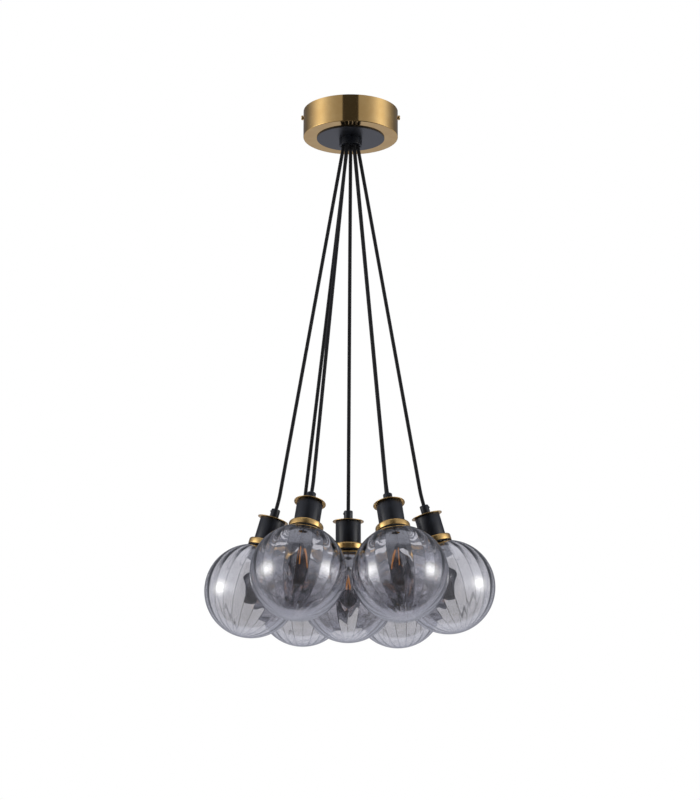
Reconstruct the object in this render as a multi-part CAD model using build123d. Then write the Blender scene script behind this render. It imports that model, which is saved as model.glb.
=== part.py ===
from build123d import *
import os
from math import atan2, cos, degrees, pi, radians, sin, sqrt, tan

# Cluster pendant: seven smoked glass globes hang on round flexes from one brass canopy.
# Millimetres, +Z up, -Y towards the front. The origin is the middle of the canopy's top rim,
# which lies on the ceiling.

# canopy
canopy_diameter = 158.0
canopy_height = 46.5
canopy_wall = 1.2
canopy_edge_round = 1.0
edge_share = 0.85
disc_diameter = 113.0
disc_thickness = 2.0
disc_edge_chamfer = 0.4

# cord hub under the canopy
hub_diameter = 38.0
hub_height = 13.0
hub_edge_round = 0.8
boss_diameter = 33.0
boss_rise = 15.0
exit_circle_radius = 11.5
pivot_depth = 1.6
swing_reach = 26.0
nut_thickness = 6.0
nut_rim = 5.5
nut_flat_count = 6
lock_diameter = 10.2
lock_height = 6.0

# ceiling bracket and what it carries
bracket_width = 20.0
bracket_thickness = 2.0
bracket_tab_drop = 20.0
slot_spacing = 70.0
slot_length = 18.0
slot_width = 4.5
block_diameter = 40.0
block_height = 14.0
wire_entry_diameter = 3.2
side_screw_drop = 10.5
side_screw_diameter = 4.0
side_screw_head_diameter = 8.0
side_screw_head_height = 3.5
side_screw_reach = 9.0
screw_slot_width = 1.0
screw_slot_depth = 1.0
earth_screw_diameter = 4.0
earth_screw_head_diameter = 8.0
earth_screw_head_height = 2.5
earth_screw_inset = 18.9

# cluster
cord_diameter = 6.0
cluster_drop = 810.0
globe_gap = 6.6
head_tilt = 16.1
centre_drop = 10.6
centre_offset = 2.7
bend_rise = 15.0
bend_share = 0.45

# globe
globe_diameter = 150.0
glass_wall = 2.4
rib_count = 24
pole_flat = 0.3
neck_wall = 2.0

# brass shade ring and its seal
ring_diameter = 54.6
ring_wall = 2.0
ring_skirt = 3.4
ring_shoulder = 6.6
ring_plate = 1.5
ring_edge_round = 0.6
seal_height = 1.8
seal_inset = 1.0

# black cup, brass cap disc and cord grip
cup_diameter = 40.6
cup_height = 36.6
cup_wall = 1.0
cup_top = 1.2
cap_disc_diameter = 50.0
cap_disc_thickness = 1.2
grip_diameter = 14.4
grip_height = 16.8
grip_chamfer = 0.8
grip_screw_diameter = 3.0
grip_screw_stand = 1.0

# lampholder insert
holder_diameter = 30.0
holder_rise = 7.4
holder_depth = 32.9
collar_diameter = 37.0
collar_thickness = 2.4
flange_diameter = 41.5
flange_thickness = 3.0
nipple_diameter = 10.0
nipple_rise = 8.0
nipple_bore = 4.0
socket_depth = 27.0

# candle bulb
cap_diameter = 13.6
cap_length = 26.0
cap_contact_diameter = 8.0
cap_contact_height = 1.2
bulb_diameter = 35.0
bulb_neck_diameter = 14.4
bulb_length = 71.5
bulb_tip_radius = 2.4
least_tip_radius = 0.4
bulb_belly_share = 0.47
bulb_glass_wall = 0.8
stem_diameter = 5.0
stem_length = 9.0
filament_diameter = 1.6
filament_length = 31.0
filament_circle_radius = 4.0
filament_lean = 9.0
filament_count = 4

# clearances
slip = 0.4
seat_gap = 0.3
grip_bite = 0.1

# Each outer pendant: its direction round the canopy in degrees, how far its globe hangs above
# the common level, and the direction that its head leans away from.
outer_pendants = {
    "right": (0.0, 3.5, 0.0),
    "back_right": (60.0, 1.5, 67.0),
    "back_left": (120.0, 4.0, 92.0),
    "left": (180.0, -3.0, 180.0),
    "front_left": (240.0, 2.0, 240.0),
    "front_right": (300.0, 0.0, 300.0),
}

# heights below the ceiling
cover_bottom = -canopy_height
disc_bottom = cover_bottom - disc_thickness
hub_bottom = disc_bottom - hub_height
pivot_height = hub_bottom + pivot_depth
cover_floor = cover_bottom + canopy_wall
boss_top = cover_floor + boss_rise
block_bottom = -bracket_thickness - block_height

# bracket ends, just inside the cover's wall, measured from the middle
cover_bore = canopy_diameter / 2 - canopy_wall
bracket_end = sqrt(cover_bore**2 - (bracket_width / 2) ** 2) - seat_gap
earth_screw_offset = bracket_end - earth_screw_inset

# heights along a pendant's own axis, from the globe's centre
globe_radius = globe_diameter / 2
neck_radius = ring_diameter / 2 - ring_wall - slip
shoulder = sqrt(globe_radius**2 - neck_radius**2)
seal_bottom = shoulder + seat_gap
ring_bottom = seal_bottom + seal_height
ring_top = ring_bottom + ring_skirt + ring_shoulder
neck_top = ring_bottom + ring_skirt - slip
cup_bottom = ring_top
cup_rim = cup_bottom + cup_height
grip_bottom = cup_rim + cap_disc_thickness
grip_top = grip_bottom + grip_height
holder_top = cup_rim - holder_rise
holder_bottom = ring_top - holder_depth
nipple_top = grip_bottom + nipple_rise
bend_height = grip_top + bend_rise

cord_radius = cord_diameter / 2
reach = globe_diameter + globe_gap
LOW = (Align.CENTER, Align.CENTER, Align.MIN)
HIGH = (Align.CENTER, Align.CENTER, Align.MAX)


def tube(outer, inner, bottom, top):
    ring = Circle(outer / 2) - Circle(inner / 2)
    return Pos(0, 0, bottom) * extrude(ring, top - bottom)


def rod(diameter, bottom, top):
    return Pos(0, 0, bottom) * Cylinder(diameter / 2, top - bottom, align=LOW)


# ---- pendant pieces, each about its own axis with the globe's centre at the origin


def ribbed_void():
    """The space inside the glass: a ball cut into flat-sided gores, so that the wall between
    two gore edges is a long lens from the neck to the pole."""
    inner = globe_radius - glass_wall
    half = radians(180 / rib_count)
    profile = Circle(inner) & (Pos(inner / 2, 0) * Rectangle(inner, 2 * (inner - pole_flat)))
    far = globe_radius
    bar = extrude(Plane.XZ * profile, far * tan(half), both=True)
    wedge = Polygon((0, 0), (far, -far * tan(half)), (far, far * tan(half)), align=None)
    gore = bar & extrude(Plane.XY.offset(-inner) * wedge, 2 * inner)
    gores = [Rot(0, 0, 360 / rib_count * k) * gore for k in range(rib_count)]
    return gores[0].fuse(*gores[1:])


def make_globe():
    collar = rod(2 * neck_radius, shoulder - glass_wall, neck_top)
    mouth = rod(2 * (neck_radius - neck_wall), 0, neck_top)
    return Sphere(globe_radius) + collar - ribbed_void() - mouth


def make_ring():
    """Spun brass cap over the neck: a short skirt, a round shoulder and a flat top."""
    cap = rod(ring_diameter, ring_bottom, ring_top)
    cap = fillet(cap.edges().group_by(Axis.Z)[-1], ring_shoulder)
    cap = fillet(cap.edges().group_by(Axis.Z)[0], min(ring_edge_round, edge_share * ring_wall))
    hollow = rod(2 * (neck_radius + slip), ring_bottom, ring_top - ring_plate)
    hollow = fillet(hollow.edges().group_by(Axis.Z)[-1], ring_shoulder - ring_plate)
    return cap - hollow - rod(holder_diameter + 2 * grip_bite, ring_bottom, ring_top)


def make_cup():
    cup = tube(cup_diameter, cup_diameter - 2 * cup_wall, cup_bottom, cup_rim - cup_top)
    return cup + tube(cup_diameter, nipple_diameter + 2 * grip_bite, cup_rim - cup_top, cup_rim)


def make_insert():
    """Lampholder: a sleeve with a collar under the shade ring, a flange at its mouth, the bulb's
    socket and a threaded nipple through cup, disc and grip."""
    insert = rod(holder_diameter, holder_bottom, holder_top)
    insert += rod(collar_diameter, ring_top - ring_plate - collar_thickness, ring_top - ring_plate)
    insert += rod(flange_diameter, holder_bottom, holder_bottom + flange_thickness)
    insert += rod(nipple_diameter, holder_top, nipple_top)
    insert -= rod(cap_diameter + 2 * slip, holder_bottom, holder_bottom + socket_depth)
    return insert - rod(nipple_bore, holder_bottom + socket_depth, nipple_top)


def make_seal():
    outer = ring_diameter - 2 * seal_inset
    return tube(outer, 2 * (neck_radius + slip), seal_bottom, ring_bottom)


def make_cap_disc():
    return tube(cap_disc_diameter, nipple_diameter + 2 * grip_bite, cup_rim, grip_bottom)


def make_grip():
    """Cord grip screwed on the nipple, with a grub screw that bites the cord."""
    grip = rod(grip_diameter, grip_bottom, grip_top)
    grip = chamfer(grip.edges().group_by(Axis.Z)[-1], grip_chamfer)
    grip -= rod(nipple_diameter + 2 * grip_bite, grip_bottom, nipple_top + seat_gap)
    grip -= rod(cord_diameter + 2 * seat_gap, nipple_top, grip_top)
    height = (nipple_top + grip_top) / 2
    side = Pos(0, 0, height) * Rot(0, 90, 0)
    grip -= side * Cylinder(grip_screw_diameter / 2 + grip_bite, grip_diameter, align=LOW)
    start = cord_radius + seat_gap
    length = grip_diameter / 2 + grip_screw_stand - start
    screw = side * Pos(0, 0, start) * Cylinder(grip_screw_diameter / 2, length, align=LOW)
    notch = Box(screw_slot_width / 2, grip_screw_diameter, screw_slot_depth, align=HIGH)
    return grip, screw - side * Pos(0, 0, start + length) * notch


def bulb_profile(shrink):
    """Half outline of the bulb's glass, drawn in by shrink: neck, belly and pointed end."""
    neck = bulb_neck_diameter / 2 - shrink
    belly = bulb_diameter / 2 - shrink
    tip = max(bulb_tip_radius - shrink, least_tip_radius)
    top = holder_bottom
    low = top - bulb_length + shrink
    widest = top - bulb_belly_share * bulb_length
    with BuildLine() as line:
        side = TangentArc((belly, widest), (neck, top), tangent=(0, 1))
        nose = TangentArc((belly, widest), (tip, low + tip), tangent=(0, -1))
        ThreePointArc((tip, low + tip), (tip * cos(pi / 4), low + tip - tip * sin(pi / 4)), (0, low))
        Polyline((0, low), (0, top), (neck, top))
    return make_face(line.line)


def make_bulb():
    """Candle bulb: glass, screw cap, stem and four filaments, each a solid of its own."""
    glass = revolve(Plane.XZ * bulb_profile(0), Axis.Z)
    glass -= revolve(Plane.XZ * bulb_profile(bulb_glass_wall), Axis.Z)
    cap = rod(cap_diameter, holder_bottom, holder_bottom + cap_length - cap_contact_height)
    cap += rod(cap_contact_diameter, holder_bottom, holder_bottom + cap_length)
    stem = rod(stem_diameter, holder_bottom - stem_length, holder_bottom)
    top = Pos(filament_circle_radius, 0, holder_bottom - seat_gap) * Rot(0, -filament_lean, 0)
    wire = top * Cylinder(filament_diameter / 2, filament_length, align=HIGH)
    turns = [360 / filament_count * (k + 0.5) for k in range(filament_count)]
    return [glass, cap, stem, *[Rot(0, 0, turn) * wire for turn in turns]]


# ---- canopy pieces, in the pendant's own frame


def make_cover():
    cover = rod(canopy_diameter, cover_bottom, 0)
    low_edge = cover.edges().group_by(Axis.Z)[0]
    cover = fillet(low_edge, min(canopy_edge_round, edge_share * canopy_wall))
    cover -= rod(2 * cover_bore, cover_floor, 0)
    cover -= rod(boss_diameter + 2 * seat_gap, cover_bottom, cover_floor)
    return cover - side_holes()


def side_holes():
    hole = Cylinder(side_screw_diameter / 2 + 2 * grip_bite, 2 * canopy_diameter)
    return Pos(0, 0, -side_screw_drop) * Rot(0, 90, 0) * hole


def make_canopy_disc():
    disc = tube(disc_diameter, boss_diameter + 2 * seat_gap, disc_bottom, cover_bottom)
    rim = disc.edges().group_by(Axis.Z)[0].sort_by(SortBy.LENGTH)[-1]
    return chamfer(rim, min(disc_edge_chamfer, edge_share * disc_thickness))


def cord_places():
    """Where the cords pass the hub: the middle one and a circle of outer ones."""
    turns = [Pos(0, 0, 0)]
    for azimuth, _, _ in outer_pendants.values():
        a = radians(azimuth)
        turns.append(Pos(exit_circle_radius * cos(a), exit_circle_radius * sin(a), 0))
    return turns


def make_hub():
    """Hub with one flared hole for each cord, wide enough for the cord's full swing."""
    hub = rod(hub_diameter, hub_bottom, disc_bottom)
    hub = fillet(hub.edges().group_by(Axis.Z)[0], hub_edge_round)
    hub += rod(boss_diameter, disc_bottom, boss_top)
    bore = cord_radius + seat_gap
    slant = radians(steepest_lean + swing_reach)
    rise = (bore / cos(slant) - bore) / tan(slant)
    mouth = bore / cos(slant) + pivot_depth * tan(slant)
    flare = Cone(mouth, bore, pivot_depth + rise, align=LOW)
    for place in cord_places():
        hub -= place * rod(2 * bore, hub_bottom, boss_top)
        hub -= place * Pos(0, 0, hub_bottom) * flare
    return hub


def make_hub_nut():
    nut = RegularPolygon(boss_diameter / 2 + nut_rim, nut_flat_count, major_radius=False)
    nut -= Circle(boss_diameter / 2 + grip_bite)
    return Pos(0, 0, cover_floor) * extrude(nut, nut_thickness)


def make_locks():
    bore = cord_diameter + 2 * grip_bite
    return [p * tube(lock_diameter, bore, boss_top, boss_top + lock_height) for p in cord_places()]


def make_tails():
    start = pivot_height + cord_radius + seat_gap
    return [p * rod(cord_diameter, start, block_bottom) for p in cord_places()]


def make_block():
    """Round terminal block under the bracket, with a wire entry above each cord."""
    block = rod(block_diameter, block_bottom, -bracket_thickness)
    for place in cord_places():
        block -= place * rod(wire_entry_diameter, block_bottom, block_bottom + block_height / 2)
    return block


def make_bracket():
    """Bent steel strap with two slots for the ceiling screws and a tapped tab at each end."""
    strap = Box(2 * bracket_end, bracket_width, bracket_thickness, align=HIGH)
    for side in (-1, 1):
        tab = Box(bracket_thickness, bracket_width, bracket_tab_drop, align=HIGH)
        strap += Pos(side * (bracket_end - bracket_thickness / 2), 0, 0) * tab
        slot = extrude(SlotOverall(slot_length, slot_width), -bracket_thickness)
        strap -= Pos(side * slot_spacing / 2, 0, 0) * slot
    strap -= side_holes()
    return strap - Pos(earth_screw_offset, 0, 0) * rod(earth_screw_diameter, -bracket_thickness, 0)


def make_earth_screw():
    head_top = -bracket_thickness
    head = rod(earth_screw_head_diameter, head_top - earth_screw_head_height, head_top)
    shank = rod(earth_screw_diameter - 2 * grip_bite, head_top, -grip_bite)
    notch = Pos(0, 0, head_top - earth_screw_head_height)
    notch *= Box(earth_screw_head_diameter, screw_slot_width, screw_slot_depth, align=LOW)
    return Pos(earth_screw_offset, 0, 0) * (head + shank - notch)


def make_side_screw(side):
    """Thumb screw through the cover into the bracket's tab, with a domed, slotted head."""
    radius = side_screw_head_diameter / 2
    head = Cylinder(radius, side_screw_head_height, align=LOW)
    head = fillet(head.edges().group_by(Axis.Z)[-1], side_screw_head_height / 2)
    notch = Box(screw_slot_width, side_screw_head_diameter, screw_slot_depth, align=HIGH)
    head -= Pos(0, 0, side_screw_head_height) * notch
    shank = Cylinder(side_screw_diameter / 2, side_screw_reach, align=HIGH)
    start = canopy_diameter / 2 + seat_gap
    place = Pos(side * start, 0, -side_screw_drop) * Rot(0, 90 * side, 0)
    return place * (head + shank)


# ---- placing the pendants


def head_place(azimuth, tilt, distance, height, lean_from):
    """Frame of a pendant's head: globe centre, and the axis leaning in by the tilt."""
    a, b, t = radians(azimuth), radians(lean_from), radians(tilt)
    origin = (distance * cos(a), distance * sin(a), height)
    outward = (cos(t) * cos(b), cos(t) * sin(b), sin(t))
    axis = (-sin(t) * cos(b), -sin(t) * sin(b), cos(t))
    return Plane(origin=origin, x_dir=outward, z_dir=axis)


def lean_of(azimuth, height, lean_from):
    """Angle between the vertical and the straight cord from its hole to the bend."""
    place = head_place(azimuth, head_tilt, reach, height, lean_from)
    a = radians(azimuth)
    hole = Vector(exit_circle_radius * cos(a), exit_circle_radius * sin(a), pivot_height)
    run = place.from_local_coords(Vector(0, 0, bend_height)) - hole
    return degrees(atan2(sqrt(run.X**2 + run.Y**2), -run.Z))


def make_cord(points):
    """Taut cord: a rounded end in the hub's hole, a long straight run, and a gentle bend."""
    if len(points) == 2:
        path = Line(*points)
        length = path.length
    else:
        first, second = points[1] - points[0], points[2] - points[1]
        turn = first.get_angle(second)
        radius = bend_share * min(first.length, second.length) / tan(radians(turn / 2))
        path = FilletPolyline(*points, radius=[radius])
        length = sum(e.length for e in path.edges())
        print(f"  bend radius {radius:.0f} mm, turn {turn:.1f} degrees")
    down = points[1] - points[0]
    section = Plane(origin=points[0], z_dir=down) * Circle(cord_radius)
    cord = sweep(section, path)
    share = cord.volume / (section.area * length)
    print(f"  cord {length:.0f} mm, volume against section times length {share:.4f}")
    end = Plane(origin=points[0], z_dir=-down) * Sphere(cord_radius, arc_size1=0)
    return cord + end


def save(name, pieces):
    """One file for each sub-part; a list of pieces stays a group of separate solids."""
    whole = Compound(pieces) if isinstance(pieces, list) else pieces
    export_step(whole, f"parts/{name}.step")


def copies(pieces, place):
    return [place.location * p for p in pieces]


leans = [lean_of(a, lift - cluster_drop, b) for a, lift, b in outer_pendants.values()]
steepest_lean = max(leans)
print(f"steepest cord leans {steepest_lean:.1f} degrees")
os.makedirs("parts", exist_ok=True)

grip, grip_screw = make_grip()
head_pieces = {
    "cord_grip": [grip, grip_screw],
    "cap_disc": [make_cap_disc()],
    "lampholder": [make_cup(), make_insert(), make_seal()],
    "shade_ring": [make_ring()],
    "globe": [make_globe()],
    "bulb": make_bulb(),
}

hangings = {"centre": (180.0, 0.0, centre_offset, -cluster_drop - centre_drop, 180.0)}
for name, (azimuth, lift, lean_from) in outer_pendants.items():
    hangings[name] = (azimuth, head_tilt, reach, -cluster_drop + lift, lean_from)

for name, (azimuth, tilt, distance, height, lean_from) in hangings.items():
    print(name)
    place = head_place(azimuth, tilt, distance, height, lean_from)
    for piece, solids in head_pieces.items():
        save(f"{piece}_{name}", copies(solids, place))
    a = radians(azimuth)
    hole = exit_circle_radius if tilt else 0.0
    route = [Vector(hole * cos(a), hole * sin(a), pivot_height)]
    if tilt:
        route.append(place.from_local_coords(Vector(0, 0, bend_height)))
    route.append(place.from_local_coords(Vector(0, 0, nipple_top)))
    save(f"cord_{name}", make_cord(route))

save("canopy_cover", make_cover())
save("canopy_disc", make_canopy_disc())
save("cord_hub", make_hub())
save("hub_nut", make_hub_nut())
save("cord_locks", make_locks())
save("cord_tails", make_tails())
save("terminal_block", make_block())
save("ceiling_bracket", make_bracket())
save("earth_screw", make_earth_screw())
save("side_screw_left", make_side_screw(-1))
save("side_screw_right", make_side_screw(1))
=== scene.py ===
from math import asin, cos, degrees, pi, radians, sin, sqrt

import bmesh
import bpy
from mathutils import Euler, Matrix, Vector


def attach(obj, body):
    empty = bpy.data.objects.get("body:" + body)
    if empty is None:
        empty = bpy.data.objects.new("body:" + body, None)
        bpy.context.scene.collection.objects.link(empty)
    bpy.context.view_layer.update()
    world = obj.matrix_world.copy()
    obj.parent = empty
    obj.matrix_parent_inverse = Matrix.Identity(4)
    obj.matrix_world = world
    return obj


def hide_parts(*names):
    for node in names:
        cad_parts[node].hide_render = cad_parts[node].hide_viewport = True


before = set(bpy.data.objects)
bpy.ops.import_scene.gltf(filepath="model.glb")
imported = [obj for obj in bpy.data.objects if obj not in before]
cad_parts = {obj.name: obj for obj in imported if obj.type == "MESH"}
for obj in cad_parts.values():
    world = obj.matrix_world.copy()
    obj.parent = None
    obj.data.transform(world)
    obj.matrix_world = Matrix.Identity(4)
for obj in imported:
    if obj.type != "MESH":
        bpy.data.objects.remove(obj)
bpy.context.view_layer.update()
print("frame loaded:", len(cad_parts), "nodes")

# Cluster pendant: seven smoked glass globes hang on black flexes from one brass canopy.
# Metres, +Z up, -Y towards the front, the middle of the canopy's top rim at the origin.


class Wire:  # one output socket that Python's own operators work on
    def __init__(self, graph, node, socket):
        self.graph, self.node, self.socket = graph, node, socket

    def out(self, name):
        return Wire(self.graph, self.node, self.node.outputs[name])

    def math(self, operation, *others):
        return self.graph.math(operation, self, *others)

    def __add__(self, other): return self.math("ADD", other)
    def __sub__(self, other): return self.math("SUBTRACT", other)
    def __mul__(self, other): return self.math("MULTIPLY", other)
    def __truediv__(self, other): return self.math("DIVIDE", other)
    def __pow__(self, other): return self.math("POWER", other)
    def __gt__(self, other): return self.math("GREATER_THAN", other)
    def __lt__(self, other): return self.math("LESS_THAN", other)
    def __neg__(self): return self.math("MULTIPLY", -1)
    def __radd__(self, other): return self.math("ADD", other)
    def __rmul__(self, other): return self.math("MULTIPLY", other)
    def __rsub__(self, other): return self.graph.math("SUBTRACT", other, self)
    def __rtruediv__(self, other): return self.graph.math("DIVIDE", other, self)


class Graph:  # a node tree of a material, the world or Geometry Nodes
    def __init__(self, tree):
        self.tree = tree

    def add(self, kind, settings=None, *values, output=None, **named):
        node = self.tree.nodes.new(kind)
        for name, value in (settings or {}).items():
            setattr(node, name, value)
        for index, value in enumerate(values):
            self.feed(node.inputs[index], value)
        for name, value in named.items():
            self.feed(node.inputs[name.replace("_", " ")], value)
        if output:
            return Wire(self, node, node.outputs[output])
        shown = [socket for socket in node.outputs if socket.enabled]
        return Wire(self, node, shown[0] if shown else None)

    def math(self, operation, *values):
        return self.add("ShaderNodeMath", {"operation": operation}, *values)

    def feed(self, socket, value):
        if isinstance(value, Wire):
            self.tree.links.new(value.socket, socket)
        elif value is not None:
            socket.default_value = value


def shaderGraph(name):
    material = bpy.data.materials.new(name)
    material.use_nodes = True
    material.node_tree.nodes.clear()
    return material, Graph(material.node_tree)


def closeShader(graph, **sockets):
    shader = graph.add("ShaderNodeBsdfPrincipled", {}, **sockets)
    graph.add("ShaderNodeOutputMaterial", {}, Surface=shader)


def smoothBand(value, band, start=0.0, end=1.0):  # from start below the band to end above it
    settings = {"interpolation_type": "SMOOTHSTEP"}
    return value.graph.add("ShaderNodeMapRange", settings, value, *band, start, end)


def splitVector(vector):
    split = vector.graph.add("ShaderNodeSeparateXYZ", {}, vector)
    return split, split.out("Y"), split.out("Z")


# The camera, fitted to the photograph's frame of 700 x 800 pixels. Angles in degrees.

cameraView = {"place": (0.0260, -3.7332, -1.4673), "pitch": 14.54, "yaw": 0.39,
              "focalPixels": 2374.6, "framePixels": 800, "sensor": 36.0, "clip": (0.05, 100.0)}


def makeCamera():
    s = cameraView
    data = bpy.data.cameras.new("camera")
    data.sensor_width = s["sensor"]
    data.lens = s["focalPixels"] / s["framePixels"] * s["sensor"]
    data.clip_start, data.clip_end = s["clip"]
    camera = bpy.data.objects.new("camera", data)
    bpy.context.scene.collection.objects.link(camera)
    camera.location = s["place"]
    lift = Euler((radians(90 + s["pitch"]), 0, 0)).to_matrix()
    turn = Euler((0, radians(s["yaw"]), 0)).to_matrix()
    camera.rotation_euler = (lift @ turn).to_euler()
    bpy.context.scene.camera = camera


makeCamera()
print("camera placed")


# Where the pendants hang. Each has its own axis, with the globe's centre at height 0.

cluster = {"drop": 0.810, "centreDrop": 0.0106, "centreOffset": 0.0027, "reach": 0.1566,
           "tilt": radians(16.1), "exitCircle": 0.0115, "pivotHeight": -0.0599,
           "bendHeight": 0.152446, "cordEnd": 0.128646}
# degrees round the canopy, height over the common level, degrees that the head leans away from
outerPendants = {"right": (0, 0.0035, 0), "back_right": (60, 0.0015, 67),
                 "back_left": (120, 0.0040, 92), "left": (180, -0.0030, 180),
                 "front_left": (240, 0.0020, 240), "front_right": (300, 0.0, 300)}


def headMatrix(azimuth, tilt, distance, height, leanFrom):
    a, b = radians(azimuth), radians(leanFrom)
    outward = Vector((cos(tilt) * cos(b), cos(tilt) * sin(b), sin(tilt)))
    axis = Vector((-sin(tilt) * cos(b), -sin(tilt) * sin(b), cos(tilt)))
    turn = Matrix((outward, axis.cross(outward), axis)).transposed().to_4x4()
    return Matrix.Translation((distance * cos(a), distance * sin(a), height)) @ turn


heads = {"centre": headMatrix(180, 0, cluster["centreOffset"],
                              -cluster["drop"] - cluster["centreDrop"], 180)}
for pendant, (azimuth, lift, leanFrom) in outerPendants.items():
    heads[pendant] = headMatrix(azimuth, cluster["tilt"], cluster["reach"],
                                lift - cluster["drop"], leanFrom)


# What the materials share

mixSockets = {"factor": 0, "first": 6, "second": 7, "result": 2}  # of a Mix node set to colour


def patternPlace(graph, turned):  # a turned piece's pattern follows the piece's own axis
    if turned:
        return graph.add("ShaderNodeAttribute", {"attribute_name": "own"}, output="Vector")
    return graph.add("ShaderNodeTexCoord", output="Object")


def noise(place, scale, detail):
    return place.graph.add("ShaderNodeTexNoise", {}, Vector=place, Scale=scale, Detail=detail)


def around(level, cloud, spread):  # a noise from 0 to 1 as a value that varies about a level
    return cloud * spread + (level - spread / 2)


def bumped(height, distance, strength):
    return height.graph.add("ShaderNodeBump", {}, Strength=strength, Distance=distance,
                            Height=height)


def mixColour(graph, factor, first, second):
    mix = graph.add("ShaderNodeMix", {"data_type": "RGBA"})
    for name, value in (("factor", factor), ("first", first), ("second", second)):
        graph.feed(mix.node.inputs[mixSockets[name]], value)
    return mix.out(mixSockets["result"])


brassLook = {"colour": (0.80, 0.53, 0.205, 1), "shade": (0.73, 0.46, 0.165, 1),
             "shadeBand": (0.35, 0.7), "roughness": 0.10, "turnedRoughness": 0.27,
             "lines": 9000.0, "linesRound": 2.0, "lineSlant": 1.31, "lineDetail": 3.0,
             "lineShare": 0.4, "lineSpread": 0.05, "cloudScale": 60.0, "cloudDetail": 4.0,
             "cloudSpread": 0.03, "bump": (0.00001, 0.2)}


def brushLines(place):  # fine lines round the axis, across the profile
    s = brassLook
    x, y, z = splitVector(place)
    radius = (x * x + y * y) ** 0.5
    turn = y.math("ARCTAN2", x)
    pattern = place.graph.add("ShaderNodeCombineXYZ", {},
                              (radius + z * s["lineSlant"]) * s["lines"],
                              turn * s["linesRound"], (radius - z) * s["lines"])
    return noise(pattern, 1.0, s["lineDetail"])


def brushedBrass(name, turned):
    s = brassLook
    material, graph = shaderGraph(name)
    place = patternPlace(graph, turned)
    lines = brushLines(place)
    cloud = noise(place, s["cloudScale"], s["cloudDetail"])
    wear = smoothBand(lines * s["lineShare"] + cloud * (1 - s["lineShare"]), s["shadeBand"])
    level = s["turnedRoughness" if turned else "roughness"]
    rough = around(level, cloud, s["cloudSpread"])
    rough = lines * s["lineSpread"] + rough - s["lineSpread"] / 2
    closeShader(graph, Base_Color=mixColour(graph, wear, s["shade"], s["colour"]), Metallic=1.0,
                Roughness=rough, Normal=bumped(lines, *s["bump"]))
    return material


blackLook = {"colour": (0.004, 0.005, 0.008, 1), "worn": (0.007, 0.009, 0.015, 1),
             "wornBand": (0.4, 0.75), "roughness": 0.35, "cloudScale": 90.0, "cloudDetail": 4.0,
             "cloudSpread": 0.06, "grainScale": 1800.0, "grainDetail": 2.0,
             "bump": (0.00002, 0.35), "sheen": 0.5, "hubSheen": 0.4, "discSheen": 1.0}


def satinBlack(name, turned, sheen=blackLook["sheen"]):
    s = blackLook
    material, graph = shaderGraph(name)
    place = patternPlace(graph, turned)
    grain = noise(place, s["grainScale"], s["grainDetail"])
    cloud = noise(place, s["cloudScale"], s["cloudDetail"])
    colour = mixColour(graph, smoothBand(cloud, s["wornBand"]), s["colour"], s["worn"])
    closeShader(graph, Base_Color=colour, Specular_IOR_Level=sheen,
                Roughness=around(s["roughness"], cloud, s["cloudSpread"]),
                Normal=bumped(grain, *s["bump"]))
    return material


ribCount = 24  # in each globe, for its shape and for the painted shade lines along its rib valleys
# the darkest colour here is painted shade, for thin lines along the rib valleys
smokeLook = {"tint": (0.83, 0.825, 0.85, 1), "cloud": (0.79, 0.785, 0.81, 1),
             "cloudScale": 28.0, "cloudDetail": 3.0, "paintedCreaseShade": (0.20, 0.20, 0.215, 1),
             "paintedShadeBand": (0.02, 0.10), "paintedShadeShare": 0.85, "ior": 1.5, "mirrorIor": 2.05,
             "mirrorRoughness": 0.02}


def smokedGlass():  # tinted glass under a mirror coat, with painted shade in thin dark lines along the rib valleys
    s = smokeLook
    material, graph = shaderGraph("smokedMirrorGlass")
    place = patternPlace(graph, True)
    cloud = noise(place, s["cloudScale"], s["cloudDetail"])
    tint = mixColour(graph, cloud, s["tint"], s["cloud"])
    x, y, z = splitVector(place)
    # painted shade: the tint turns dark in thin lines along each rib valley
    crest = (y.math("ARCTAN2", x) * (ribCount / 2)).math("SINE").math("ABSOLUTE")
    paintedCreaseShade = smoothBand(crest, s["paintedShadeBand"], s["paintedShadeShare"], 0.0)
    closeShader(graph, Base_Color=mixColour(graph, paintedCreaseShade, tint, s["paintedCreaseShade"]), Roughness=0.0,
                IOR=s["ior"], Transmission_Weight=1.0, Coat_Weight=1.0,
                Coat_Roughness=s["mirrorRoughness"], Coat_IOR=s["mirrorIor"])
    return material


bulbLook = {"tint": (0.40, 0.40, 0.41, 1), "ior": 1.45, "cloudScale": 70.0, "cloudDetail": 2.0,
            "roughness": 0.02}  # painted shade: the clear glass is tinted dark, as the bulbs read dark in the shade inside the globes


def bulbGlass():
    s = bulbLook
    material, graph = shaderGraph("clearBulbGlass")
    cloud = noise(patternPlace(graph, True), s["cloudScale"], s["cloudDetail"])
    closeShader(graph, Base_Color=s["tint"], Roughness=cloud * s["roughness"], IOR=s["ior"],
                Transmission_Weight=1.0)
    return material


plainLook = {"darker": 0.8, "spread": 0.1, "grainScale": 900.0, "grainDetail": 3.0,
             "bump": (0.00002, 0.4), "sheen": 0.5}


# emission here is painted light, for pieces made to shine though no lamp is lit
def plain(name, colour, roughness, metallic=0.0, grainScale=plainLook["grainScale"],
          turned=True, paintedGlow=0.0, sheen=plainLook["sheen"]):
    s = plainLook
    material, graph = shaderGraph(name)
    grain = noise(patternPlace(graph, turned), grainScale, s["grainDetail"])
    darker = tuple(part * s["darker"] for part in colour[:3]) + (1,)
    closeShader(graph, Base_Color=mixColour(graph, grain, darker, colour), Metallic=metallic,
                Roughness=around(roughness, grain, s["spread"]), Specular_IOR_Level=sheen,
                Emission_Color=colour, Emission_Strength=paintedGlow, Normal=bumped(grain, *s["bump"]))
    return material


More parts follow.
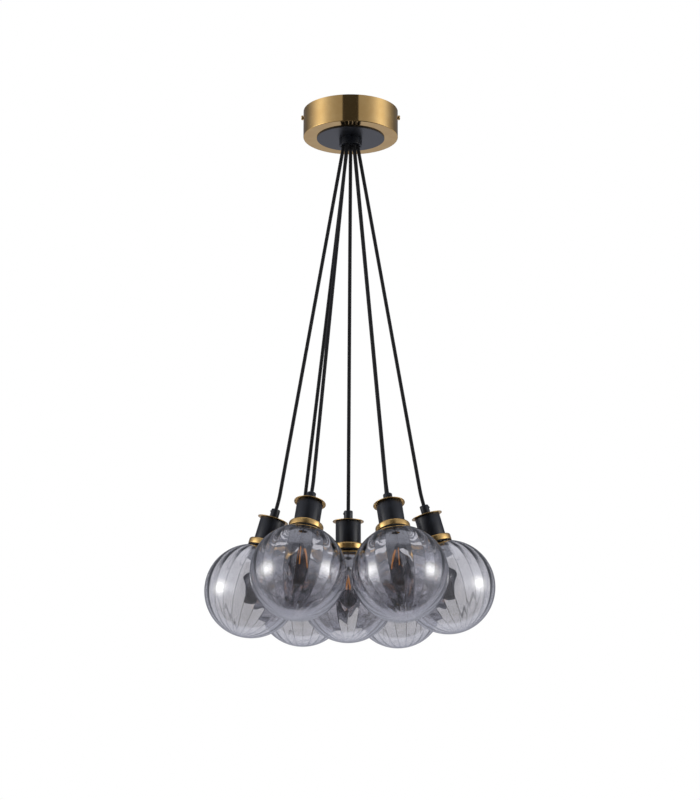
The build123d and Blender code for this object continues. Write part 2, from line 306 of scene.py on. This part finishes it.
looks = {
    "brassTurned": brushedBrass("satinBrassTurned", True),
    "brass": brushedBrass("satinBrass", False),
    "blackTurned": satinBlack("satinBlackTurned", True),
    "disc": satinBlack("satinBlackDisc", False, blackLook["discSheen"]),
    "hub": satinBlack("mattBlackHub", False, blackLook["hubSheen"]),
    "smoke": smokedGlass(),
    "clear": bulbGlass(),
    # painted light: the unlit filaments are made to shine, so they read bright orange through the
    # smoked glass
    "filament": plain("filamentCoatPaintedLight", (0.95, 0.36, 0.05, 1), 0.55, paintedGlow=1.1),
    "rubber": plain("sealRubber", (0.012, 0.012, 0.012, 1), 0.75),
    "holder": plain("blackHolderPlastic", (0.012, 0.012, 0.013, 1), 0.45),
    "sheath": plain("blackFlexSheath", (0.010, 0.010, 0.011, 1), 0.42, grainScale=250.0,
                    turned=False, sheen=0.2),
    "zinc": plain("zincSteel", (0.62, 0.64, 0.66, 1), 0.38, metallic=1.0, grainScale=300.0,
                  turned=False),
    "white": plain("whiteBlockPlastic", (0.75, 0.75, 0.72, 1), 0.45, turned=False),
    "nickel": plain("nickelCap", (0.72, 0.70, 0.66, 1), 0.28, metallic=1.0),
}
print("materials made:", len(looks))


# Turned pieces: Geometry Nodes sweep a half outline round the local Z axis.

turnSizes = {"segments": 96, "edge": 0.0, "cornerSteps": 3, "sharpAngle": radians(32),
             "weld": 0.000002}  # unless the piece's own dictionary says otherwise
# where up the globe the ribs get deeper, as shares of their reach, and how fast they fade out
# at the pole, as a power
ribShape = {"riseBand": (0.15, 0.75), "fade": 0.6}


def turnTree():
    tree = bpy.data.node_groups.new("turnOutline", "GeometryNodeTree")
    face = tree.interface
    face.new_socket("Outline", in_out="INPUT", socket_type="NodeSocketGeometry")
    for name, kind, value in (("Segments", "Int", turnSizes["segments"]),
                              ("Edge Radius", "Float", turnSizes["edge"]),
                              ("Corner Steps", "Int", turnSizes["cornerSteps"]),
                              ("Sharp Angle", "Float", turnSizes["sharpAngle"]),
                              ("Rib Count", "Int", ribCount), ("Rib Depth", "Float", 0.0),
                              ("Rib Reach", "Float", 1.0), ("Rib Rise", "Float", 0.0)):
        face.new_socket(name, in_out="INPUT", socket_type=f"NodeSocket{kind}").default_value = value
    face.new_socket("Material", in_out="INPUT", socket_type="NodeSocketMaterial")
    face.new_socket("Piece", in_out="OUTPUT", socket_type="NodeSocketGeometry")
    graph = Graph(tree)
    given = graph.add("NodeGroupInput")
    segments, reach = given.out("Segments"), given.out("Rib Reach")
    rounded = graph.add("GeometryNodeFilletCurve", {"mode": "POLY"}, Curve=given.out("Outline"),
                        Count=given.out("Corner Steps"), Radius=given.out("Edge Radius"),
                        Limit_Radius=True)
    rim = graph.add("GeometryNodeCurveToMesh", {}, Curve=rounded)
    size = graph.add("GeometryNodeAttributeDomainSize", {"component": "MESH"}, Geometry=rim)
    count = size.out("Point Count")
    columns = segments + 1
    grid = graph.add("GeometryNodeMeshGrid", {}, Size_X=1.0, Size_Y=1.0, Vertices_X=count + 1,
                     Vertices_Y=columns)
    index = graph.add("GeometryNodeInputIndex")
    row = (index / columns).math("FLOOR")
    column = index - row * columns
    row = row - count * (row > (count - 0.5))  # the last row is the first one again
    sample = graph.add("GeometryNodeSampleIndex", {"data_type": "FLOAT_VECTOR", "domain": "POINT"},
                       Geometry=rim, Value=graph.add("GeometryNodeInputPosition"), Index=row)
    radius, _, height = splitVector(sample)
    angle = column * (2 * pi) / segments
    # ribs thicken the wall inwards, more towards the neck and nothing at the pole
    inside = ((radius * radius + height * height) ** 0.5) < reach
    lens = (angle * given.out("Rib Count") * 0.5).math("SINE").math("ABSOLUTE")
    upper = smoothBand(height / reach, ribShape["riseBand"]) * given.out("Rib Rise") + 1
    depth = inside * given.out("Rib Depth") * lens * upper * (radius / reach) ** ribShape["fade"]
    ribbed = radius - depth
    point = graph.add("ShaderNodeCombineXYZ", {}, ribbed * angle.math("COSINE"),
                      ribbed * angle.math("SINE"), height)
    placed = graph.add("GeometryNodeSetPosition", {}, Geometry=grid, Position=point)
    merged = graph.add("GeometryNodeMergeByDistance", {}, Geometry=placed,
                       Distance=turnSizes["weld"])
    softened = graph.add("GeometryNodeSetShadeSmooth", {"domain": "FACE"}, Geometry=merged,
                         Shade_Smooth=True)
    bend = graph.add("GeometryNodeInputMeshEdgeAngle", output="Unsigned Angle")
    crisp = graph.add("GeometryNodeSetShadeSmooth", {"domain": "EDGE"}, Geometry=softened,
                      Shade_Smooth=bend < given.out("Sharp Angle"))
    whole = graph.add("GeometryNodeRealizeInstances", {}, Geometry=crisp)
    dressed = graph.add("GeometryNodeSetMaterial", {}, Geometry=whole,
                        Material=given.out("Material"))
    graph.add("NodeGroupOutput", {}, dressed)
    return tree


turner = turnTree()


def outlineCurve(name, points):  # a closed half outline in the XZ plane
    data = bpy.data.curves.new(name, "CURVE")
    data.dimensions = "3D"
    spline = data.splines.new("POLY")
    spline.points.add(len(points) - 1)
    for place, (radius, height) in zip(spline.points, points):
        place.co = (radius, 0.0, height, 1.0)
    spline.use_cyclic_u = True
    outline = bpy.data.objects.new(name, data)
    bpy.context.scene.collection.objects.link(outline)
    return outline


def setInputs(modifier, values):
    sockets = {item.name: item.identifier for item in modifier.node_group.interface.items_tree
               if item.item_type == "SOCKET" and item.in_out == "INPUT"}
    for name, value in values.items():
        modifier[sockets[name]] = value


def plainMesh(holder, name):  # what the holder's modifiers make of it; the holder goes
    bpy.context.view_layer.update()
    evaluated = holder.evaluated_get(bpy.context.evaluated_depsgraph_get())
    mesh = bpy.data.meshes.new_from_object(evaluated)
    mesh.name = name
    bpy.data.objects.remove(holder)
    return mesh


def meshFrom(name, work, look=None):
    mesh = bpy.data.meshes.new(name)
    work.to_mesh(mesh)
    work.free()
    if look:
        mesh.materials.append(looks[look])
    return mesh


def faceOutwards(mesh):
    work = bmesh.new()
    work.from_mesh(mesh)
    bmesh.ops.recalc_face_normals(work, faces=work.faces)
    work.to_mesh(mesh)
    work.free()


def keepOwnPlace(mesh):  # its places before it is hung, for the patterns
    own = mesh.attributes.new("own", "FLOAT_VECTOR", "POINT")
    for item, vertex in zip(own.data, mesh.vertices):
        item.vector = vertex.co


def turnPiece(name, outline, sizes, look, ribs=None):
    s = {**turnSizes, **sizes}
    holder = outlineCurve(name, outline(sizes))
    modifier = holder.modifiers.new("turn", "NODES")
    modifier.node_group = turner
    values = {"Segments": s["segments"], "Edge Radius": s["edge"],
              "Corner Steps": s["cornerSteps"], "Sharp Angle": s["sharpAngle"],
              "Material": looks[look]}
    setInputs(modifier, {**values, **(ribs or {})})
    mesh = plainMesh(holder, name)
    faceOutwards(mesh)
    keepOwnPlace(mesh)
    return mesh


def hang(mesh, name, place, body, node):
    piece = bpy.data.objects.new(name, mesh.copy())
    piece.data.transform(place)
    bpy.context.scene.collection.objects.link(piece)
    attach(piece, body)
    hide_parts(node)


def arc(centre, radius, start, end, steps):  # points on a circle, angles in degrees
    angles = [radians(start + (end - start) * k / steps) for k in range(steps + 1)]
    return [(centre[0] + radius * cos(angle), centre[1] + radius * sin(angle))
            for angle in angles]


# Smoked globe

globeSizes = {"radius": 0.075, "wall": 0.0024, "neckRadius": 0.0249, "neckWall": 0.002,
              "neckTop": 0.075846, "ribDepth": 0.0006, "ribRise": 1.6, "rows": 72,
              "lipSteps": 6, "segments": 12 * ribCount, "sharpAngle": radians(11)}


def globeOutline(s):  # the ball from its pole up, the neck's round lip, and the inside back down
    inner = s["radius"] - s["wall"]
    bore = s["neckRadius"] - s["neckWall"]
    shoulder = degrees(asin(sqrt(1 - (s["neckRadius"] / s["radius"]) ** 2)))
    innerShoulder = degrees(asin(sqrt(1 - (bore / inner) ** 2)))
    lip = s["neckWall"] / 2
    points = arc((0, 0), s["radius"], -90, shoulder, s["rows"])
    points += arc((s["neckRadius"] - lip, s["neckTop"] - lip), lip, 0, 180, s["lipSteps"])
    return points + arc((0, 0), inner, innerShoulder, -90, s["rows"])


def ribInputs(s):
    return {"Rib Count": ribCount, "Rib Depth": s["ribDepth"], "Rib Rise": s["ribRise"],
            "Rib Reach": s["radius"] - s["wall"] / 2}


globeMesh = turnPiece("globe", globeOutline, globeSizes, "smoke", ribInputs(globeSizes))
for pendant, place in heads.items():
    hang(globeMesh, f"smokedGlobe_{pendant}", place, f"globe_{pendant}",
         f"globe_{pendant}")
print("globes blown:", len(globeMesh.polygons), "faces each")


# Fittings round the neck, from the shade ring up to the cord grip

ringSizes = {"radius": 0.0273, "bore": 0.0253, "low": 0.072846, "high": 0.082846,
             "plate": 0.0015, "hole": 0.0151, "shoulder": 0.0030, "shoulderSteps": 12,
             "innerSteps": 8, "edge": 0.0005}


def ringOutline(s):  # a short skirt, a round shoulder and a flat top
    shoulder, inner = s["shoulder"], s["shoulder"] - s["plate"]
    points = [(s["bore"], s["low"]), (s["radius"], s["low"])]
    points += arc((s["radius"] - shoulder, s["high"] - shoulder), shoulder, 0, 90,
                  s["shoulderSteps"])
    points += [(s["hole"], s["high"]), (s["hole"], s["high"] - s["plate"])]
    return points + arc((s["bore"] - inner, s["high"] - shoulder), inner, 90, 0, s["innerSteps"])


cupSizes = {"radius": 0.0203, "wall": 0.001, "low": 0.082846, "high": 0.119446, "top": 0.0012,
            "hole": 0.0051, "edge": 0.0004}


def cupOutline(s):
    inside, ceiling = s["radius"] - s["wall"], s["high"] - s["top"]
    return [(inside, s["low"]), (s["radius"], s["low"]), (s["radius"], s["high"]),
            (s["hole"], s["high"]), (s["hole"], ceiling), (inside, ceiling)]


capDiscSizes = {"radius": 0.025, "bore": 0.0051, "low": 0.119446, "high": 0.120646,
                "edge": 0.0004}
sealSizes = {"radius": 0.0271, "bore": 0.0253, "low": 0.071046, "high": 0.072846,
             "edge": 0.0005}


def washerOutline(s):  # of the cap disc and of the seal
    return [(s["bore"], s["low"]), (s["radius"], s["low"]), (s["radius"], s["high"]),
            (s["bore"], s["high"])]


gripSizes = {"radius": 0.0072, "low": 0.120646, "high": 0.137446, "hole": 0.0051,
             "bore": 0.0033, "step": 0.128946, "chamfer": 0.0008, "edge": 0.0003,
             "segments": 48}


def gripOutline(s):  # wide at the nipple, narrow at the cord
    return [(s["hole"], s["low"]), (s["radius"], s["low"]),
            (s["radius"], s["high"] - s["chamfer"]), (s["radius"] - s["chamfer"], s["high"]),
            (s["bore"], s["high"]), (s["bore"], s["step"]), (s["hole"], s["step"])]


holderSizes = {"radius": 0.015, "low": 0.049946, "high": 0.112046, "flange": 0.02075,
               "flangeTop": 0.052946, "collar": 0.0185, "collarLow": 0.078946,
               "collarHigh": 0.081346, "bore": 0.0072, "boreTop": 0.076946, "nipple": 0.005,
               "nippleBore": 0.002, "nippleTop": 0.128646, "edge": 0.0004}


def holderOutline(s):  # flange, sleeve, collar and nipple outside, the bulb's socket inside
    return [(s["bore"], s["low"]), (s["flange"], s["low"]), (s["flange"], s["flangeTop"]),
            (s["radius"], s["flangeTop"]), (s["radius"], s["collarLow"]),
            (s["collar"], s["collarLow"]), (s["collar"], s["collarHigh"]),
            (s["radius"], s["collarHigh"]), (s["radius"], s["high"]), (s["nipple"], s["high"]),
            (s["nipple"], s["nippleTop"]), (s["nippleBore"], s["nippleTop"]),
            (s["nippleBore"], s["boreTop"]), (s["bore"], s["boreTop"])]


grubScrewSizes = {"radius": 0.0015, "start": 0.0033, "end": 0.0082, "height": 0.133046,
                  "slot": 0.0005, "slotDepth": 0.001, "segments": 32}


def objectOf(mesh):
    holder = bpy.data.objects.new(mesh.name, mesh)
    bpy.context.scene.collection.objects.link(holder)
    return holder


def makeGrubScrew(s):  # a slotted set screw lying along the local X axis
    length = s["end"] - s["start"]
    work = bmesh.new()
    place = Matrix.Translation((s["start"] + length / 2, 0, s["height"]))
    bmesh.ops.create_cone(work, cap_ends=True, segments=s["segments"], radius1=s["radius"],
                          radius2=s["radius"], depth=length,
                          matrix=place @ Matrix.Rotation(pi / 2, 4, "Y"))
    shank = objectOf(meshFrom("grubScrew", work))
    work = bmesh.new()
    place = Matrix.Translation((s["end"], 0, s["height"]))
    size = Matrix.Diagonal((2 * s["slotDepth"], 1, s["slot"], 1))
    bmesh.ops.create_cube(work, size=1.0, matrix=place @ size)
    cutter = objectOf(meshFrom("slot", work))
    cut = shank.modifiers.new("slot", "BOOLEAN")
    cut.object, cut.operation, cut.solver = cutter, "DIFFERENCE", "EXACT"
    mesh = plainMesh(shank, "grubScrew")
    bpy.data.objects.remove(cutter)
    mesh.materials.clear()
    mesh.materials.append(looks["blackTurned"])
    keepOwnPlace(mesh)
    return mesh


# piece: its mesh, its slot and the kind of node that it replaces
fittings = {
    "shadeRing": (turnPiece("shadeRing", ringOutline, ringSizes, "brassTurned"),
                  "satin_brass", "shade_ring"),
    "cup": (turnPiece("cup", cupOutline, cupSizes, "blackTurned"), "black_metal", "lampholder"),
    "capDisc": (turnPiece("capDisc", washerOutline, capDiscSizes, "brassTurned"),
                "satin_brass", "cap_disc"),
    "cordGrip": (turnPiece("cordGrip", gripOutline, gripSizes, "blackTurned"),
                 "black_plastic", "cord_grip"),
    "grubScrew": (makeGrubScrew(grubScrewSizes), "black_plastic", "cord_grip"),
    "neckSeal": (turnPiece("neckSeal", washerOutline, sealSizes, "rubber"),
                 "black_plastic", "lampholder"),
    "holder": (turnPiece("holder", holderOutline, holderSizes, "holder"),
               "black_plastic", "lampholder"),
}
for pendant, place in heads.items():
    for piece, (mesh, slot, node) in fittings.items():
        hang(mesh, f"{piece}_{pendant}", place, f"pendant_{pendant}", f"{node}_{pendant}")
print("fittings turned:", len(fittings))


# Candle bulb

bulbSizes = {"radius": 0.0175, "neck": 0.0072, "length": 0.0715, "wall": 0.0008,
             "top": 0.049946, "bellyShare": 0.47, "noseHollow": 0.18, "steps": 20,
             "segments": 64}


def bulbSide(s, shrink):  # neck, belly and pointed end, drawn in by shrink
    neck, belly = s["neck"] - shrink, s["radius"] - shrink
    widest = s["top"] - s["bellyShare"] * s["length"]
    bottom = s["top"] - s["length"] + shrink
    shares = [k / s["steps"] for k in range(s["steps"] + 1)]
    upper = [(neck + (belly - neck) * (1 - cos(pi * t)) / 2, s["top"] - (s["top"] - widest) * t)
             for t in shares]
    nose = [(belly * sqrt(1 - t * t) * (1 - s["noseHollow"] * sin(pi * t)),
             widest - (widest - bottom) * t) for t in shares[1:]]
    return upper + nose


def bulbOutline(s):
    return bulbSide(s, 0.0) + bulbSide(s, s["wall"])[::-1]


bulbCapSizes = {"radius": 0.0068, "low": 0.049946, "thread": 0.0705, "high": 0.074746,
                "contact": 0.004, "tip": 0.075946, "pitch": 0.0028, "depth": 0.0005,
                "turnSteps": 8, "shoulder": 0.001, "tipEdge": (0.0006, 0.0003),
                "segments": 48}


def capOutline(s):  # screw cap: round threads, a straight end and the contact
    core, top = s["radius"] - s["depth"], s["high"]
    points = [(0.0, s["low"]), (core, s["low"])]
    turns = int((s["thread"] - s["low"]) / s["pitch"])
    for k in range(turns * s["turnSteps"] + 1):
        swing = 0.5 + 0.5 * cos(2 * pi * k / s["turnSteps"])
        points.append((s["radius"] - s["depth"] * swing,
                       s["low"] + s["pitch"] * k / s["turnSteps"]))
    contact, (edge, drop) = s["contact"], s["tipEdge"]
    return points + [(core, top - s["shoulder"]), (contact + s["shoulder"], top), (contact, top),
                     (contact, s["tip"] - drop), (contact - edge, s["tip"]), (0.0, s["tip"])]


stemSizes = {"radius": 0.0025, "waist": 0.0022, "foot": 0.0012, "top": 0.049846, "drop": 0.009,
             "footHeight": 0.002, "segments": 32}


def stemOutline(s):  # glass stem that carries the filaments
    bottom = s["top"] - s["drop"]
    return [(0.0, s["top"]), (0.0, bottom), (s["foot"], bottom),
            (s["waist"], bottom + s["footHeight"]), (s["radius"], s["top"])]


filamentSizes = {"count": 4, "circle": 0.004, "lean": radians(9), "length": 0.031,
                 "radius": 0.0006, "top": 0.0416, "segments": 16}


def makeFilaments(s):
    work = bmesh.new()
    for k in range(s["count"]):
        turn = Matrix.Rotation(2 * pi * (k + 0.5) / s["count"], 4, "Z")
        lean = Matrix.Translation((s["circle"], 0, s["top"])) @ Matrix.Rotation(-s["lean"], 4, "Y")
        drop = Matrix.Translation((0, 0, -s["length"] / 2))
        bmesh.ops.create_cone(work, cap_ends=True, segments=s["segments"], radius1=s["radius"],
                              radius2=s["radius"], depth=s["length"], matrix=turn @ lean @ drop)
    mesh = meshFrom("filaments", work, "filament")
    keepOwnPlace(mesh)
    return mesh


bulbPieces = {
    "bulbGlass": turnPiece("bulbGlass", bulbOutline, bulbSizes, "clear"),
    "bulbCap": turnPiece("bulbCap", capOutline, bulbCapSizes, "nickel"),
    "bulbStem": turnPiece("bulbStem", stemOutline, stemSizes, "clear"),
    "filaments": makeFilaments(filamentSizes),
}
for pendant, place in heads.items():
    for piece, mesh in bulbPieces.items():
        hang(mesh, f"{piece}_{pendant}", place, f"bulb_{pendant}",
             f"bulb_{pendant}")
print("bulbs made")


# Cords, from the hub's holes straight to the bend over the head, and down into the grip

cordSizes = {"diameter": 0.0060, "exitRun": 0.031, "bendRun": 0.022, "curveOrder": 3,
             "curveSteps": 16, "roundSteps": 6}


def cordRoute(name):
    place = heads[name]
    end = place @ Vector((0, 0, cluster["cordEnd"]))
    if name == "centre":
        start = Vector((0, 0, cluster["pivotHeight"]))
        run = (end - start).normalized() * cordSizes["exitRun"]
        return [start, start + run, end - run, end]
    a = radians(outerPendants[name][0])
    start = Vector((cluster["exitCircle"] * cos(a), cluster["exitCircle"] * sin(a),
                    cluster["pivotHeight"]))
    bend = place @ Vector((0, 0, cluster["bendHeight"]))
    run = (bend - start).normalized()
    return [start, start + run * cordSizes["exitRun"], bend - run * cordSizes["bendRun"], bend,
            end]


def makeCord(name):
    route = cordRoute(name)
    data = bpy.data.curves.new(f"flex_{name}", "CURVE")
    data.dimensions = "3D"
    data.resolution_u = cordSizes["curveSteps"]
    data.bevel_depth = cordSizes["diameter"] / 2
    data.bevel_resolution = cordSizes["roundSteps"]
    data.use_fill_caps = True
    spline = data.splines.new("NURBS")
    spline.points.add(len(route) - 1)
    for place, point in zip(spline.points, route):
        place.co = (*point, 1.0)
    spline.order_u = cordSizes["curveOrder"]
    spline.use_endpoint_u = True
    cord = bpy.data.objects.new(f"flex_{name}", data)
    bpy.context.scene.collection.objects.link(cord)
    data.materials.append(looks["sheath"])
    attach(cord, f"pendant_{name}")
    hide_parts(f"cord_{name}")
    length = sum((b - a).length for a, b in zip(route, route[1:]))


for pendant in heads:
    makeCord(pendant)
print("cords hung")


# Canopy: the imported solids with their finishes

nodeLooks = {"canopy_cover": "brass", "canopy_disc": "disc", "cord_hub": "hub",
             "hub_nut": "zinc", "cord_locks": "white", "cord_tails": "sheath",
             "terminal_block": "white", "ceiling_bracket": "zinc", "earth_screw": "brass",
             "side_screw_left": "brass", "side_screw_right": "brass"}
for node, look in nodeLooks.items():
    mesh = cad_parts[node].data
    mesh.materials.clear()
    mesh.materials.append(looks[look])
print("canopy finished")


# The room that a ray sees once it has been mirrored: a soft box at each side, a dark gap at the
# front, darker low parts, a pale ceiling. Every other ray sees plain light. Angles in degrees:
# turn from the front to either side, rise from level. A pair is a band that a change runs over.

room = {"boxTurn": 79, "boxRise": 5, "boxWidth": 19.5, "boxHeight": 11.5, "boxPower": 3.1,
        "haloWidth": 30, "haloHeight": 38, "haloPower": 0.36,
        "side": 0.30, "sideHigh": 0.44, "sideRise": (8, 32),
        "back": 0.15, "backTurn": (95, 140), "backRise": (5, 20),
        "low": 0.06, "lowBack": 0.60, "lowDepth": (0.25, 0.45), "lowRise": (-45, 10),
        "gapHalf": 25, "gapNarrow": 5.5, "gapNarrowRise": (0, 20), "gapEdge": 1.2,
        "gapFoot": (-40, -32), "gapTop": (64, 69),
        "gapShade": 0.05, "gapHigh": 0.15, "gapHighRise": (22, 42),
        "ceiling": 0.68, "ceilingRise": (60, 70),
        "cool": (0.93, 0.955, 1.10, 1), "boxFade": (0.05, 0.8)}
plainLevel = 0.95  # for rays that matt surfaces send out


def hill(value, centre, width):
    offset = (value - radians(centre)) / radians(width)
    return (-(offset * offset)).math("EXPONENT")


def angleBand(value, band, start=0.0, end=1.0):
    return smoothBand(value, [radians(edge) for edge in band], start, end)


def mirroredPath(path):
    return path.out("Glossy Depth") > 0.5


def roomLight(turn, rise, y):  # its brightness, and where its light is cool
    s = room
    box = hill(turn, s["boxTurn"], s["boxWidth"]) * hill(rise, s["boxRise"], s["boxHeight"])
    box = box * s["boxPower"]
    halo = hill(turn, s["boxTurn"], s["haloWidth"]) * hill(rise, s["boxRise"], s["haloHeight"])
    farSide = angleBand(turn, s["backTurn"]) * angleBand(rise, s["backRise"])
    side = angleBand(rise, s["sideRise"], s["side"], s["sideHigh"])
    upper = side + farSide * (s["back"] - side)
    behind = smoothBand(y, s["lowDepth"])
    lower = behind * (s["lowBack"] - s["low"]) + s["low"]
    above = angleBand(rise, s["lowRise"])
    level = lower + (upper - lower) * above + halo * s["haloPower"]
    gapHalf = angleBand(rise, s["gapNarrowRise"], radians(s["gapHalf"]),
                        radians(s["gapHalf"] - s["gapNarrow"]))
    gap = angleBand(turn - gapHalf, (-s["gapEdge"], s["gapEdge"]), 1.0, 0.0)
    gap = gap * angleBand(rise, s["gapFoot"]) * angleBand(rise, s["gapTop"], 1.0, 0.0)
    shade = angleBand(rise, s["gapHighRise"], s["gapShade"], s["gapHigh"])
    level = level * (1 - gap) + gap * shade
    level = level + (s["ceiling"] - level) * angleBand(rise, s["ceilingRise"]) + box
    cool = smoothBand(above + behind, (0.0, 1.0)) * smoothBand(box, s["boxFade"], 1.0, 0.0)
    return level, cool


def makeWorld():
    world = bpy.data.worlds.new("studio")
    bpy.context.scene.world = world
    world.use_nodes = True
    world.cycles.sampling_method = "NONE"  # each ray meets it with its own path behind it
    world.node_tree.nodes.clear()
    graph = Graph(world.node_tree)
    x, y, z = splitVector(graph.add("ShaderNodeTexCoord", output="Generated"))
    level, cool = roomLight(x.math("ARCTAN2", -y).math("ABSOLUTE"), z.math("ARCSINE"), y)
    path = graph.add("ShaderNodeLightPath")
    mirrored = mirroredPath(path)
    scattered = (path.out("Diffuse Depth") > 0.5) * (1 - mirrored)
    strength = 1 + mirrored * (level - 1) + scattered * (plainLevel - 1)
    colour = mixColour(graph, mirrored * cool, (1, 1, 1, 1), room["cool"])
    light = graph.add("ShaderNodeBackground", {}, Color=colour, Strength=strength)
    graph.add("ShaderNodeOutputWorld", {}, Surface=light)


floorSizes = {"height": -2.40, "radius": 7.0, "fade": (3.5, 6.86), "segments": 96,
              "colour": (0.9, 0.9, 0.9, 1), "roughness": 0.7}


def makeFloor():  # fades out towards its rim, and isn't there for mirrored rays
    s = floorSizes
    work = bmesh.new()
    bmesh.ops.create_circle(work, cap_ends=True, segments=s["segments"], radius=s["radius"])
    mesh = meshFrom("floor", work)
    mesh.transform(Matrix.Translation((0, 0, s["height"])))
    material, graph = shaderGraph("floorPaint")
    x, y, z = splitVector(patternPlace(graph, False))
    fade = smoothBand((x * x + y * y) ** 0.5, s["fade"], 1.0, 0.0)
    mirrored = mirroredPath(graph.add("ShaderNodeLightPath"))
    closeShader(graph, Base_Color=s["colour"], Roughness=s["roughness"],
                Alpha=fade * (1 - mirrored))
    mesh.materials.append(material)
    floor = objectOf(mesh)


makeWorld()
makeFloor()
bpy.context.scene.view_settings.view_transform = "Standard"
bounces = {"max_bounces": 32, "transmission_bounces": 32, "transparent_max_bounces": 32,
           "glossy_bounces": 8}  # a ray may cross several globes, with two walls each
for name, count in bounces.items():
    setattr(bpy.context.scene.cycles, name, count)
print("studio lit")
